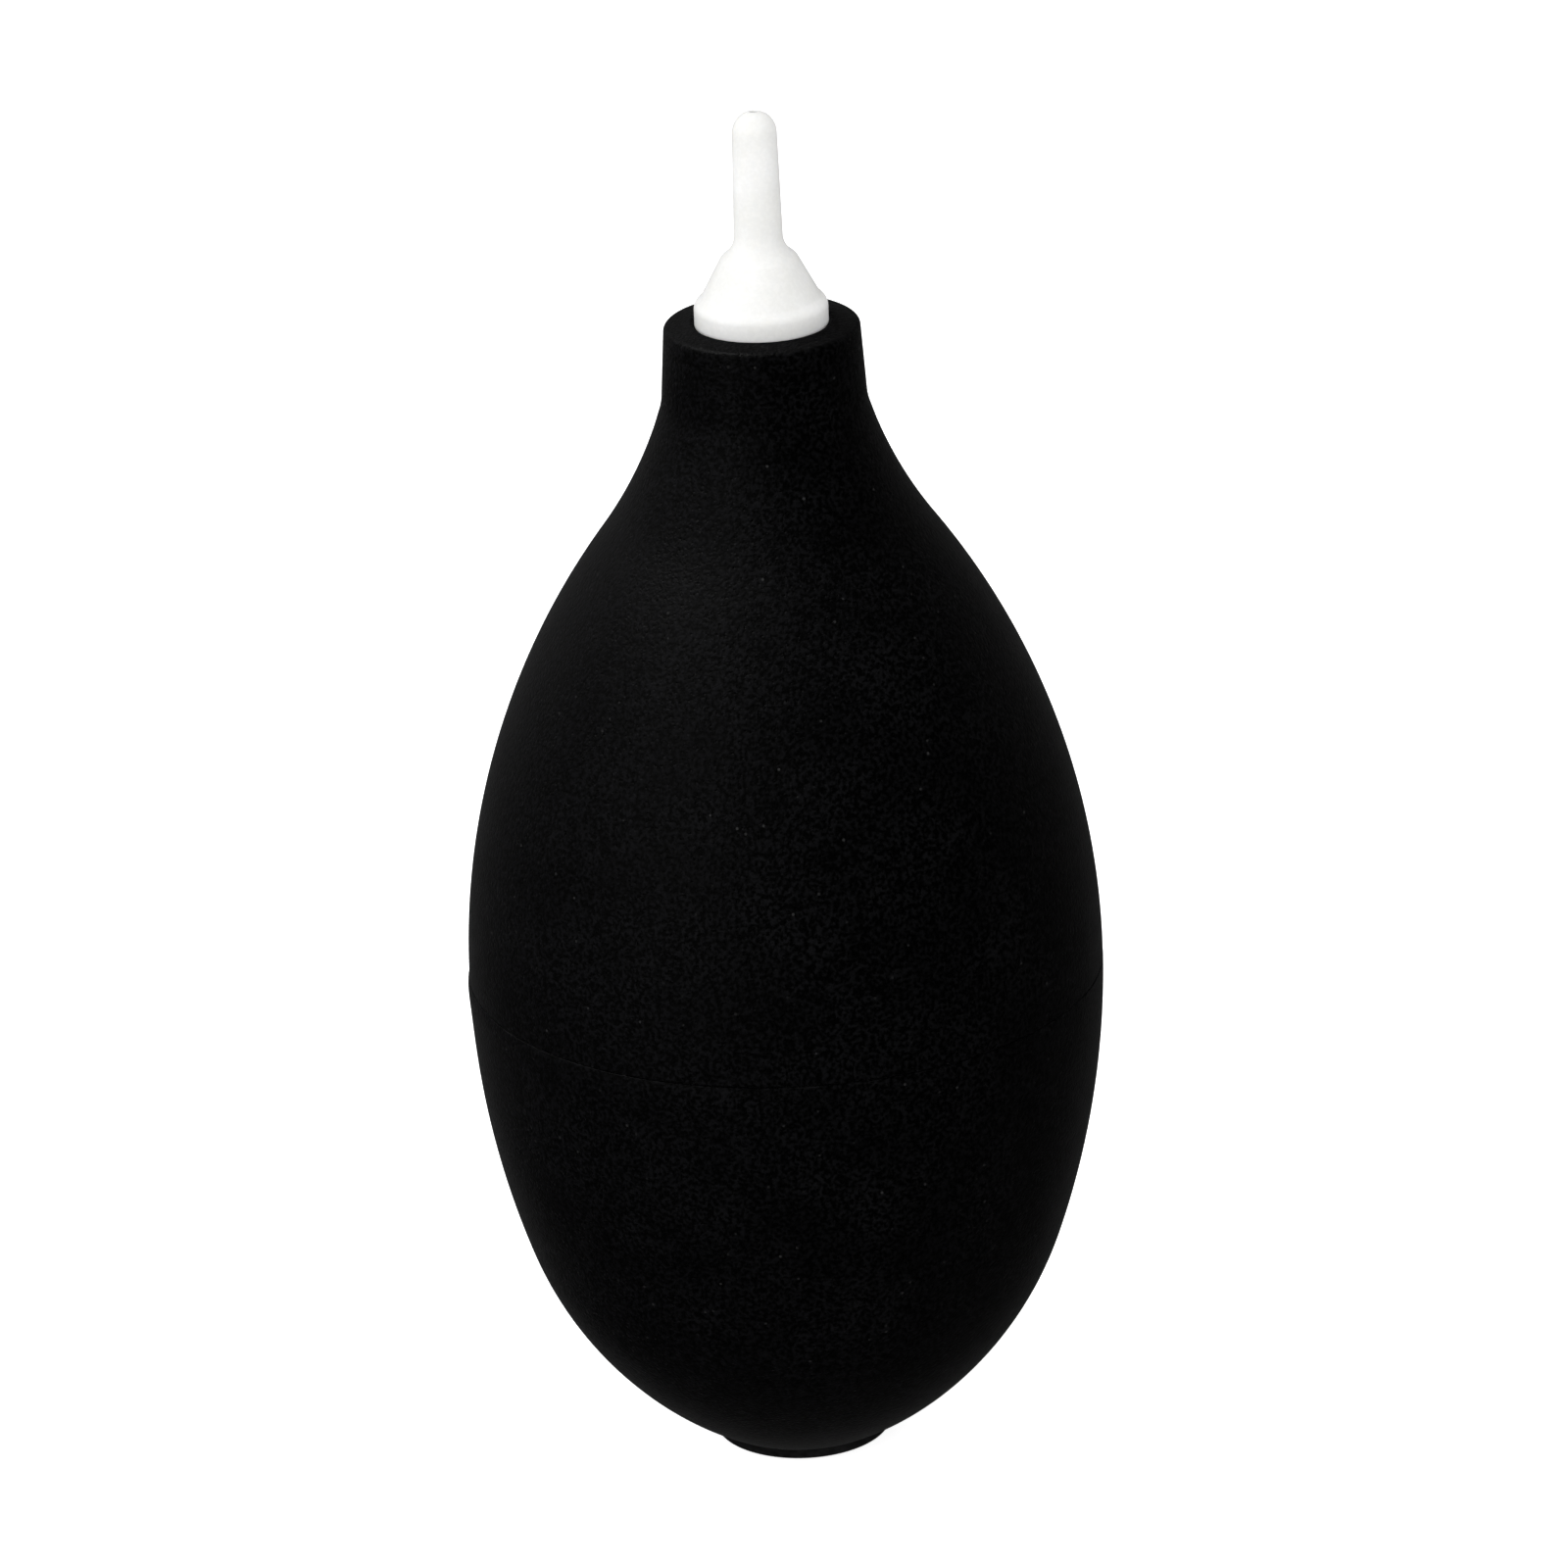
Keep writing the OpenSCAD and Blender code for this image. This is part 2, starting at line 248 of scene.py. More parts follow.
def makeSeamGroup():
    # broken flash along the joint between the halves: a thin level band round the bulb, kept
    # only where a noise is high and fading out away from the joint's height
    group, given, made = nodeGroup(
        "seamFlash",
        [("Vector", "NodeSocketVector", None), ("Height", "NodeSocketFloat", 0.04),
         ("Width", "NodeSocketFloat", 0.0001), ("Scale", "NodeSocketFloat", 400.0)],
        [("Mask", "NodeSocketFloat")],
    )
    link = group.links.new
    place = add(group, "ShaderNodeSeparateXYZ")
    link(given.outputs["Vector"], place.inputs[0])
    above = add(group, "ShaderNodeMath", operation="SUBTRACT")
    link(place.outputs["Z"], above.inputs[0])
    link(given.outputs["Height"], above.inputs[1])
    away = add(group, "ShaderNodeMath", operation="ABSOLUTE")
    link(above.outputs[0], away.inputs[0])
    near = add(group, "ShaderNodeMapRange", interpolation_type="SMOOTHSTEP", in_3=1.0, in_4=0.0)
    link(away.outputs[0], near.inputs["Value"])
    link(given.outputs["Width"], near.inputs["From Max"])
    noise = add(group, "ShaderNodeTexNoise", in_Detail=flash["detail"])
    link(given.outputs["Vector"], noise.inputs["Vector"])
    link(given.outputs["Scale"], noise.inputs["Scale"])
    torn = add(group, "ShaderNodeMapRange", in_1=flash["tornFrom"], in_2=flash["tornTo"])
    link(noise.outputs["Fac"], torn.inputs["Value"])
    both = add(group, "ShaderNodeMath", operation="MULTIPLY")
    link(near.outputs["Result"], both.inputs[0])
    link(torn.outputs["Result"], both.inputs[1])
    link(both.outputs[0], made.inputs["Mask"])
    return group


mottleGroup = makeMottleGroup()
seamGroup = makeSeamGroup()
speckGroup = makeSpeckGroup()


def startMaterial(name):
    material = bpy.data.materials.new(name)
    material.use_nodes = True
    tree = material.node_tree
    return material, tree, tree.nodes["Principled BSDF"], add(tree, "ShaderNodeTexCoord")


def useGroup(tree, group, coords, **values):
    node = tree.nodes.new("ShaderNodeGroup")
    node.node_tree = group
    tree.links.new(coords, node.inputs["Vector"])
    for key, value in values.items():
        node.inputs[key.replace("_", " ")].default_value = value
    return node


# where the noises are cut off before they are spread over a look's own range
moulded = {
    "cloudFrom": 0.35, "cloudTo": 0.68, "grainFrom": 0.43, "grainTo": 0.62, "grainPeak": 2.6,
    "roughFrom": 0.3, "roughTo": 0.7,
}


def makeMoulded(name, look):
    # moulded rubber or plastic: colour drifts between two tones in soft clouds, light dust
    # sits in a few specks, roughness follows the clouds and the grain stands in the bump
    material, tree, shader, coords = startMaterial(name)
    link = tree.links.new
    spot = coords.outputs["Object"]
    patches = useGroup(
        tree, mottleGroup, spot, Grain_Scale=look["grainScale"], Cloud_Scale=look["cloudScale"]
    )
    tone = add(tree, "ShaderNodeMix", data_type="RGBA")
    tone.inputs["A"].default_value = (*look["darkTone"], 1)
    tone.inputs["B"].default_value = (*look["lightTone"], 1)
    spread = add(tree, "ShaderNodeMapRange", in_1=moulded["cloudFrom"], in_2=moulded["cloudTo"])
    link(patches.outputs["Cloud"], spread.inputs["Value"])
    link(spread.outputs["Result"], tone.inputs["Factor"])
    grainTone = add(tree, "ShaderNodeMix", data_type="RGBA", blend_type="MULTIPLY")
    grainTone.inputs["Factor"].default_value = look["grainContrast"]
    grainGrey = add(
        tree, "ShaderNodeMapRange", in_1=moulded["grainFrom"], in_2=moulded["grainTo"],
        in_3=0.0, in_4=moulded["grainPeak"]
    )
    link(patches.outputs["Grain"], grainGrey.inputs["Value"])
    link(tone.outputs["Result"], grainTone.inputs["A"])
    link(grainGrey.outputs["Result"], grainTone.inputs["B"])
    specks = useGroup(
        tree, speckGroup, spot, Scale=look["speckScale"], Share=look["speckShare"],
        Size=look["speckSize"]
    )
    dusty = add(tree, "ShaderNodeMix", data_type="RGBA")
    dusty.inputs["B"].default_value = (*look["dustTone"], 1)
    link(specks.outputs["Mask"], dusty.inputs["Factor"])
    link(grainTone.outputs["Result"], dusty.inputs["A"])
    link(dusty.outputs["Result"], shader.inputs["Base Color"])
    rough = add(
        tree, "ShaderNodeMapRange", in_1=moulded["roughFrom"], in_2=moulded["roughTo"],
        in_3=look["roughLow"], in_4=look["roughHigh"]
    )
    link(patches.outputs["Cloud"], rough.inputs["Value"])
    link(rough.outputs["Result"], shader.inputs["Roughness"])
    bump = add(tree, "ShaderNodeBump")
    bump.inputs["Strength"].default_value = look["bumpStrength"]
    bump.inputs["Distance"].default_value = look["bumpDepth"]
    link(patches.outputs["Height"], bump.inputs["Height"])
    link(bump.outputs["Normal"], shader.inputs["Normal"])
    shader.inputs["Specular IOR Level"].default_value = look["specular"]
    return material, shader


def addFlash(material, shader):
    # lays the seam's flash over the colour that already feeds the shader
    tree = material.node_tree
    coords = next(node for node in tree.nodes if node.bl_idname == "ShaderNodeTexCoord")
    band = useGroup(
        tree, seamGroup, coords.outputs["Object"], Height=seamZ - flash["drop"],
        Width=flash["width"], Scale=flash["scale"]
    )
    below = shader.inputs["Base Color"].links[0].from_socket
    mix = add(tree, "ShaderNodeMix", data_type="RGBA")
    mix.inputs["B"].default_value = (*flash["tone"], 1)
    tree.links.new(band.outputs["Mask"], mix.inputs["Factor"])
    tree.links.new(below, mix.inputs["A"])
    tree.links.new(mix.outputs["Result"], shader.inputs["Base Color"])


rubberLook = {
    "darkTone": (0.0007, 0.0007, 0.0011), "lightTone": (0.0012, 0.0012, 0.0018),
    "dustTone": (0.022, 0.022, 0.022), "grainScale": 3200.0, "cloudScale": 160.0,
    "grainContrast": 1.0, "speckScale": 1500.0, "speckShare": 0.08, "speckSize": 0.17,
    "roughLow": 0.54, "roughHigh": 0.66, "bumpStrength": 1.0, "bumpDepth": 0.08 * mm,
    "specular": 0.5, "bloom": 0.04, "bloomSpread": 0.28,
}
nozzleLook = {
    "darkTone": (0.84, 0.84, 0.82), "lightTone": (0.89, 0.89, 0.88),
    "dustTone": (0.55, 0.54, 0.5), "grainScale": 3000.0, "cloudScale": 300.0,
    "grainContrast": 0.012, "speckScale": 500.0, "speckShare": 0.02, "speckSize": 0.07,
    "roughLow": 0.36, "roughHigh": 0.5, "bumpStrength": 0.12, "bumpDepth": 0.01 * mm,
    "specular": 0.45, "milkiness": 0.25, "milkTint": (1.0, 0.95, 0.85), "milkDepth": 0.8 * mm,
}
valveLook = {
    "darkTone": (0.004, 0.004, 0.0042), "lightTone": (0.008, 0.008, 0.0085),
    "dustTone": (0.12, 0.12, 0.11), "grainScale": 2600.0, "cloudScale": 350.0,
    "grainContrast": 0.3, "speckScale": 700.0, "speckShare": 0.05, "speckSize": 0.1,
    "roughLow": 0.26, "roughHigh": 0.42, "bumpStrength": 0.1, "bumpDepth": 0.02 * mm,
    "specular": 0.5,
}
screenLook = {
    "darkTone": (0.42, 0.42, 0.42), "lightTone": (0.56, 0.56, 0.55),
    "dustTone": (0.3, 0.28, 0.24), "grainScale": 4200.0, "cloudScale": 900.0,
    "grainContrast": 0.2, "speckScale": 1500.0, "speckShare": 0.08, "speckSize": 0.12,
    "roughLow": 0.28, "roughHigh": 0.45, "bumpStrength": 0.2, "bumpDepth": 0.01 * mm,
    "specular": 0.5,
}
discLook = {
    "darkTone": (0.03, 0.03, 0.031), "lightTone": (0.045, 0.045, 0.047),
    "dustTone": (0.2, 0.2, 0.19), "grainScale": 3000.0, "cloudScale": 700.0,
    "grainContrast": 0.4, "speckScale": 900.0, "speckShare": 0.03, "speckSize": 0.1,
    "roughLow": 0.5, "roughHigh": 0.65, "bumpStrength": 0.2, "bumpDepth": 0.02 * mm,
    "specular": 0.4,
}
cageLook = {
    "darkTone": (0.62, 0.62, 0.58), "lightTone": (0.7, 0.7, 0.66),
    "dustTone": (0.35, 0.34, 0.3), "grainScale": 3000.0, "cloudScale": 600.0,
    "grainContrast": 0.08, "speckScale": 900.0, "speckShare": 0.03, "speckSize": 0.08,
    "roughLow": 0.4, "roughHigh": 0.52, "bumpStrength": 0.15, "bumpDepth": 0.01 * mm,
    "specular": 0.5,
}
bulbRubber, rubberShader = makeMoulded("bulbRubber", rubberLook)
addFlash(bulbRubber, rubberShader)
# the pale bloom that rubber shows towards its edges
rubberShader.inputs["Sheen Weight"].default_value = rubberLook["bloom"]
rubberShader.inputs["Sheen Roughness"].default_value = rubberLook["bloomSpread"]
nozzlePlastic, nozzleShader = makeMoulded("nozzlePlastic", nozzleLook)
nozzleShader.inputs["Subsurface Weight"].default_value = nozzleLook["milkiness"]
nozzleShader.inputs["Subsurface Radius"].default_value = nozzleLook["milkTint"]
nozzleShader.inputs["Subsurface Scale"].default_value = nozzleLook["milkDepth"]
valvePlastic, _ = makeMoulded("valvePlastic", valveLook)
screenSteel, screenShader = makeMoulded("screenSteel", screenLook)
screenShader.inputs["Metallic"].default_value = 1.0
discRubber, _ = makeMoulded("discRubber", discLook)
cagePlastic, _ = makeMoulded("cagePlastic", cageLook)
print("materials made")


bulb = {
    "radius": 25 * mm, "wall": 2.2 * mm, "footRadius": 7.35 * mm,
    "footLean": -61.0, "shoulderArc": 35 * mm, "shoulderLean": 16.5, "neckHeight": 6.2 * mm,
    "neckBaseRadius": 7.95 * mm, "neckFillet": 5 * mm, "rimRadius": 7.55 * mm,
    "rimRound": 0.4 * mm, "rimSwell": 0.3 * mm, "boreRadius": 5.25 * mm, "boreDepth": 11 * mm,
    "boreRound": 0.25 * mm, "landHeight": 3 * mm, "landExtra": 0.8 * mm, "blockHeight": 4 * mm,
    "plugHoleRadius": 4.62 * mm, "footRound": 0.35 * mm, "seamStep": 0.02 * mm,
    "grooveWidth": 0.12 * mm, "grooveDepth": 0.35 * mm, "seamEdge": 0.03 * mm,
    "swellOut": 0.12 * mm, "swellHeight": 0.9 * mm, "swellFrom": 2, "around": 256,
    "fineStep": 0.36 * mm, "coarseStep": 1.2 * mm, "seamSkip": 2, "filletSkip": 6,
    "squeezeLow": 8 * mm, "squeezeHigh": 18 * mm,
}
# waves in the skin: how many go round, how steeply they climb, and where they fade out
uneven = {
    "height": 0.03 * mm, "seed": 7, "turns": (2, 3, 4, 5), "climb": 40, "climbSpread": 12,
    "facing": 4, "fadeRadius": 9 * mm, "fadeWidth": 6 * mm,
}


def touchingArcs(end, lean, radius):
    # One arc ends at a point, where its outward direction leans as given; its radius is
    # negative if it is hollow. A second arc starts upright at the seam and touches it, so the
    # distance between the centres is the difference of the radii. Gives both centres, the
    # second radius and the direction in which they touch.
    tilt = math.radians(lean)
    centre = np.array([end[0] - radius * math.cos(tilt), end[1] - radius * math.sin(tilt)])
    across, up = centre[0] - bulb["radius"], centre[1] - seamZ
    second = (radius ** 2 - across ** 2 - up ** 2) / (2 * (across + radius))
    secondCentre = np.array([bulb["radius"] - second, seamZ])
    gap = centre - secondCentre
    return centre, secondCentre, second, math.degrees(math.atan2(gap[1], gap[0]))


def equalReachArcs(end, lean):
    # Two arcs from upright at the seam to a point where the outward direction leans as given.
    # The tangents at both ends run equally far to the tangent at the join, which lies halfway
    # between their tips; each radius is chord^2 / (2 * chord . inward). Gives both centres and
    # radii, the end's first, and the direction in which they touch.
    tilt = math.radians(lean)
    start, end = np.array([bulb["radius"], seamZ]), np.array(end)
    outwards = np.array([math.cos(tilt), math.sin(tilt)])
    startRun, endRun = np.array([0.0, -1.0]), np.array([outwards[1], -outwards[0]])
    span = end - start
    run = span @ (startRun + endRun)
    bend = 2 * (1 - startRun @ endRun)
    reach = (math.sqrt(run ** 2 + bend * (span @ span)) - run) / bend
    join = (start + reach * startRun + end - reach * endRun) / 2
    endRadius = (join - end) @ (join - end) / (2 * (end - join) @ outwards)
    startRadius = (join - start) @ (join - start) / (2 * (start[0] - join[0]))
    startCentre = start - np.array([startRadius, 0])
    gap = join - startCentre
    touch = math.degrees(math.atan2(gap[1], gap[0]))
    return end - endRadius * outwards, endRadius, startCentre, startRadius, touch


def unevenSkin(angle, height, outwards, radius):
    # hand-moulded rubber is never quite round: a few slow waves round and along the bulb,
    # fading out at the neck, at the foot and on the inside
    u = uneven
    seeded = np.random.default_rng(u["seed"])
    wave = 0
    for turns in u["turns"]:
        phase, drift = seeded.uniform(0, 2 * math.pi, 2)
        climb = u["climb"] + u["climbSpread"] * drift
        wave = wave + np.sin(turns * angle + phase + climb * height) / turns
    belly = np.clip((radius - u["fadeRadius"]) / u["fadeWidth"], 0, 1)
    return u["height"] * wave * (np.clip(outwards * u["facing"], 0, 1) * belly)


def lowerRelief(angle, height, outwards, radius):
    # the same unevenness, plus a low swelling under the seam that is thickest at -X: with d
    # the depth below the seam over swellHeight, it stands out by d * exp(1 - d)
    d = np.clip((seamZ - height) / bulb["swellHeight"], 0, None)
    facing = np.clip(outwards * uneven["facing"] - bulb["swellFrom"], 0, 1)
    oneSide = 0.5 - 0.5 * np.cos(angle)
    swelling = bulb["swellOut"] * (d * np.exp(1 - d) * facing) * oneSide
    return unevenSkin(angle, height, outwards, radius) + swelling


def angleAt(centre, radius, height):
    # direction, in degrees, of the circle's right-hand point at that height
    return math.degrees(math.asin((height - centre[1]) / radius))


def makeUpperShell():
    # from the seam's groove up the crown's arc and the throat's hollow arc to the neck and its
    # rim, then down the bore and the inner arcs, which run a wall's thickness inside the outer
    # ones. The outer arcs leave out a few points where a rounded corner takes their place.
    b = bulb
    shoulderZ, boreZ, landZ = rimZ - b["neckHeight"], rimZ - b["boreDepth"], seamZ + b["landHeight"]
    throat, crown, crownArc, touch = touchingArcs(
        (b["neckBaseRadius"], shoulderZ), b["shoulderLean"], -b["shoulderArc"]
    )
    throatEnd = 180 + b["shoulderLean"]
    innerThroat, innerCrown = b["shoulderArc"] + b["wall"], crownArc - b["wall"]
    innerLand = innerCrown - b["landExtra"]
    skin = arcTo(crown, crownArc, 0, touch, b["fineStep"])[b["seamSkip"]:]
    hollow = arcTo(throat, b["shoulderArc"], 180 + touch, throatEnd, b["fineStep"])
    inside = arcTo(throat, innerThroat, 180 - angleAt(throat, innerThroat, boreZ), 180 + touch,
                   b["coarseStep"])
    innerSkin = arcTo(crown, innerCrown, touch, angleAt(crown, innerCrown, landZ),
                      b["coarseStep"])[1:]
    landSkin = arcTo(crown, innerLand, angleAt(crown, innerLand, landZ), 0, b["coarseStep"])
    outline = cornered([
        (b["radius"] - b["grooveDepth"], seamZ, 0),
        (b["radius"] - b["grooveDepth"], seamZ + b["grooveWidth"], 0),
        (b["radius"], seamZ + b["grooveWidth"], b["seamEdge"]), skin,
        hollow[1:-b["filletSkip"]], (b["neckBaseRadius"], shoulderZ, b["neckFillet"]),
        (b["rimRadius"], rimZ, b["rimRound"]),
        (b["boreRadius"], rimZ + b["rimSwell"], b["boreRound"]),
        (b["boreRadius"], boreZ, 0), inside, innerSkin, landSkin
    ], b["fineStep"])
    return spin("upperHalf", outline, b["around"], unevenSkin)


def makeLowerShell():
    # from the seam down the belly's arc and the foot's arc to the hole for the valve, then up
    # the inner arcs, a wall's thickness inside, with a thicker land behind the seam. The point
    # next to the foot's rounded edge is left out.
    b = bulb
    blockZ, landZ = footZ + b["blockHeight"], seamZ - b["landHeight"]
    foot, footArc, belly, bellyArc, touch = equalReachArcs((b["footRadius"], footZ), b["footLean"])
    outerFoot, outerBelly = footArc + b["seamStep"], bellyArc + b["seamStep"]
    innerFoot, innerBelly = footArc - b["wall"], bellyArc - b["wall"]
    innerLand = innerBelly - b["landExtra"]
    skin = arcTo(belly, outerBelly, 0, touch, b["fineStep"])[b["seamSkip"]:]
    under = arcTo(foot, outerFoot, touch, angleAt(foot, outerFoot, footZ), b["fineStep"])[1:]
    under[-1, 2] = b["footRound"]
    inside = arcTo(foot, innerFoot, angleAt(foot, innerFoot, blockZ), touch, b["coarseStep"])
    innerSkin = arcTo(belly, innerBelly, touch, angleAt(belly, innerBelly, landZ),
                      b["coarseStep"])[1:]
    landSkin = arcTo(belly, innerLand, angleAt(belly, innerLand, landZ), 0, b["coarseStep"])
    outline = cornered([
        (b["radius"] + b["seamStep"], seamZ, b["seamEdge"]), skin, np.delete(under, -2, 0),
        (b["plugHoleRadius"], footZ, 0), (b["plugHoleRadius"], blockZ, 0),
        inside, innerSkin, landSkin
    ], b["fineStep"])
    return spin("lowerHalf", outline, b["around"], lowerRelief)


for shell, node in ((makeUpperShell(), "upper_shell"), (makeLowerShell(), "lower_shell")):
    shell.data.materials.append(bulbRubber)
    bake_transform(shell)
    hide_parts(node)
print("rubber halves made")


nozzle = {
    "collarRadius": 5.15 * mm, "collarRise": 2.1 * mm, "collarRound": 0.9 * mm,
    "collarLift": -0.1 * mm, "collarUnder": 0.25 * mm, "collarDepth": 1.6 * mm,
    "coneHeight": 3.5 * mm, "coneBaseRadius": 4.6 * mm, "coneTopRadius": 2.82 * mm,
    "collarTop": 0.12 * mm, "collarDrop": 0.35 * mm, "coneFoot": 0.6 * mm,
    "ledgeTop": 0.6 * mm, "ledgeDrop": 0.2 * mm, "coneRound": 0.9 * mm,
    "tubeBaseRadius": 1.9 * mm, "tubeFillet": 1.8 * mm, "tipRadius": 1.72 * mm,
    "tipBore": 0.28 * mm, "boreRadius": 0.5 * mm, "boreEdge": 0.1 * mm, "plugRadius": 4.78 * mm,
    "gripRadius": 5.2 * mm, "gripHeight": 1 * mm, "gripCount": 3, "gripEdge": 0.12 * mm,
    "hollowRadius": 3.2 * mm, "boreTop": 0.5 * mm, "domeFrom": 6, "domeTo": 2,
    "partingHeight": 0.012 * mm, "partingWidth": 0.09 * mm, "partingTurn": 0.35,
    "partingFacing": 3, "partingFrom": 0.5, "around": 192, "step": 0.22 * mm,
}


def partingLine(angle, height, outwards, radius):
    # a hair of flash where the mould's two halves met, on two opposite sides, outside only:
    # it stands out by exp(-d^2), with d the distance from the mould's plane over its width
    offset = np.sin(angle - nozzle["partingTurn"]) * radius
    ridge = np.exp(-(offset / nozzle["partingWidth"]) ** 2)
    facing = np.clip(outwards * nozzle["partingFacing"] - nozzle["partingFrom"], 0, 1)
    return nozzle["partingHeight"] * ridge * facing


def makeNozzle():
    # tip, tube, cone and collar outside, below them the plug with its grip rings, then the
    # hollow and the bore up to the tip. The tip is a circle that its opening cuts off, so the
    # circle's centre lies sqrt(tipRadius^2 - tipBore^2) below the top.
    n = nozzle
    collarZ = rimZ + n["collarRise"]
    ledgeZ = collarZ + n["coneHeight"]
    liftZ = rimZ + n["collarLift"]
    domeZ = tipZ - math.sqrt(n["tipRadius"] ** 2 - n["tipBore"] ** 2)
    hole = math.degrees(math.acos(n["tipBore"] / n["tipRadius"]))
    dome = arcTo((0, domeZ), n["tipRadius"], hole - n["domeFrom"], n["domeTo"], n["step"])
    coneLean = (n["coneBaseRadius"] - n["coneTopRadius"]) / n["coneHeight"]
    shoulderRadius = n["coneTopRadius"] + coneLean * n["ledgeDrop"]
    gripPitch = (rimZ - n["collarDepth"] - plugZ) / n["gripCount"]
    grips = []
    for ring in reversed(range(n["gripCount"])):
        low = plugZ + ring * gripPitch
        high = low + n["gripHeight"]
        grips += [
            (n["plugRadius"], high, n["gripEdge"]), (n["gripRadius"], high, n["gripEdge"]),
            (n["gripRadius"], (low + high) / 2, n["gripEdge"]), (n["plugRadius"], low, 0)
        ]
    outline = cornered([
        (n["tipBore"], tipZ, n["boreEdge"]), dome,
        (n["tubeBaseRadius"], ledgeZ + n["ledgeTop"], n["tubeFillet"]),
        (shoulderRadius, ledgeZ - n["ledgeDrop"], n["coneRound"]),
        (n["coneBaseRadius"], collarZ + n["collarTop"], n["coneFoot"]),
        (n["collarRadius"], collarZ - n["collarDrop"], n["collarRound"]),
        (n["collarRadius"], liftZ, n["collarUnder"]), (n["plugRadius"], liftZ, 0),
        (n["plugRadius"], rimZ - n["collarDepth"], 0), *grips,
        (n["hollowRadius"], plugZ, n["gripEdge"]), (n["hollowRadius"], rimZ, 0),
        (n["boreRadius"], ledgeZ - n["boreTop"], 0)
    ], n["step"])
    piece = spin("nozzleMoulding", outline, n["around"], partingLine)
    piece.visible_glossy = False      # the rubber rim is too matt to mirror it
    piece.data.materials.append(nozzlePlastic)
    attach(piece, "nozzle_body")
    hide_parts("nozzle")


makeNozzle()
print("nozzle made")


valve = {
    "flangeRadius": 7.1 * mm, "flangeRound": 0.3 * mm, "flangeTopRound": 0.15 * mm,
    "inletRadius": 3 * mm, "inletEdge": 0.25 * mm, "inletDepth": 2.5 * mm,
    "ringGroove": (4.6 * mm, 5.6 * mm), "grooveDepth": 0.2 * mm, "grooveRound": 0.08 * mm,
    "portRadius": 1.7 * mm, "seatRadius": 2.1 * mm, "floorZ": 4 * mm, "seatZ": 4.3 * mm,
    "chamberRadius": 3.6 * mm, "stepRadius": 4 * mm, "barrelRadius": 4.6 * mm,
    "ribRadius": 5.3 * mm, "ribHeight": 1 * mm, "edge": 0.12 * mm, "around": 160,
    "step": 0.4 * mm,
}


def makeValveHousing():
    # a flange with a ring groove under it, a barrel with a rib that hooks over the foot's
    # rubber, and inside them the inlet, the port, the seat and the chamber
    v = valve
    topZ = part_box("valve_housing")[1].z
    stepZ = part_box("valve_cage")[0].z
    blockZ = footZ + bulb["blockHeight"]
    grooveIn, grooveOut = v["ringGroove"]
    outline = cornered([
        (v["inletRadius"], 0, v["inletEdge"]),
        (grooveIn, 0, v["grooveRound"]), (grooveIn, v["grooveDepth"], v["grooveRound"]),
        (grooveOut, v["grooveDepth"], v["grooveRound"]), (grooveOut, 0, v["grooveRound"]),
        (v["flangeRadius"], 0, v["flangeRound"]), (v["flangeRadius"], footZ, v["flangeTopRound"]),
        (v["barrelRadius"], footZ, 0), (v["barrelRadius"], blockZ, 0),
        (v["ribRadius"], blockZ, v["edge"]), (v["barrelRadius"], blockZ + v["ribHeight"], 0),
        (v["barrelRadius"], topZ, v["edge"]), (v["stepRadius"], topZ, v["edge"]),
        (v["stepRadius"], stepZ, 0), (v["chamberRadius"], stepZ, v["edge"]),
        (v["chamberRadius"], v["floorZ"], v["edge"]), (v["seatRadius"], v["floorZ"], v["edge"]),
        (v["seatRadius"], v["seatZ"], v["edge"]), (v["portRadius"], v["seatZ"], v["edge"]),
        (v["portRadius"], v["inletDepth"], v["edge"]), (v["inletRadius"], v["inletDepth"], 0)
    ], v["step"])
    piece = spin("valveHousing", outline, v["around"])
    piece.data.materials.append(valvePlastic)
    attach(piece, "base")
    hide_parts("valve_housing")


makeValveHousing()
for node, material in (
    ("inlet_screen", screenSteel), ("valve_disc", discRubber), ("valve_cage", cagePlastic)
):
    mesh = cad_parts[node].data
    mesh.materials.clear()
    mesh.materials.append(material)
print("valve made")


studio = {
    "floorSize": 6.0, "floorGap": 0.1 * mm, "floorTone": (0.9, 0.9, 0.9), "floorGlow": 0.8,
    "floorRough": 0.9, "backdrop": (1.0, 1.0, 1.0), "spread": 0.88, "mirrored": 0.008,
    "lampDistance": 1.0, "lampAim": (0, 0, 0.05),
}
# turn is in degrees round the bulb from the camera's side, rise in degrees above level,
# size in metres and power in watts
softboxes = {
    "highLeft": {"turn": -110, "rise": 62, "size": 0.45, "power": 1.6},
    "rimLeft": {"turn": -135, "rise": 8, "size": 0.45, "power": 0.14},
    "rimRight": {"turn": 135, "rise": 8, "size": 0.45, "power": 0.07},
    "lowLeft": {"turn": -40, "rise": 8, "size": 0.45, "power": 0.24},
}
# lights the pale plastic from the left, but is too low and wide to show in the rubber
wash = {"turn": -30, "rise": 25, "size": 0.8, "power": 3.0}


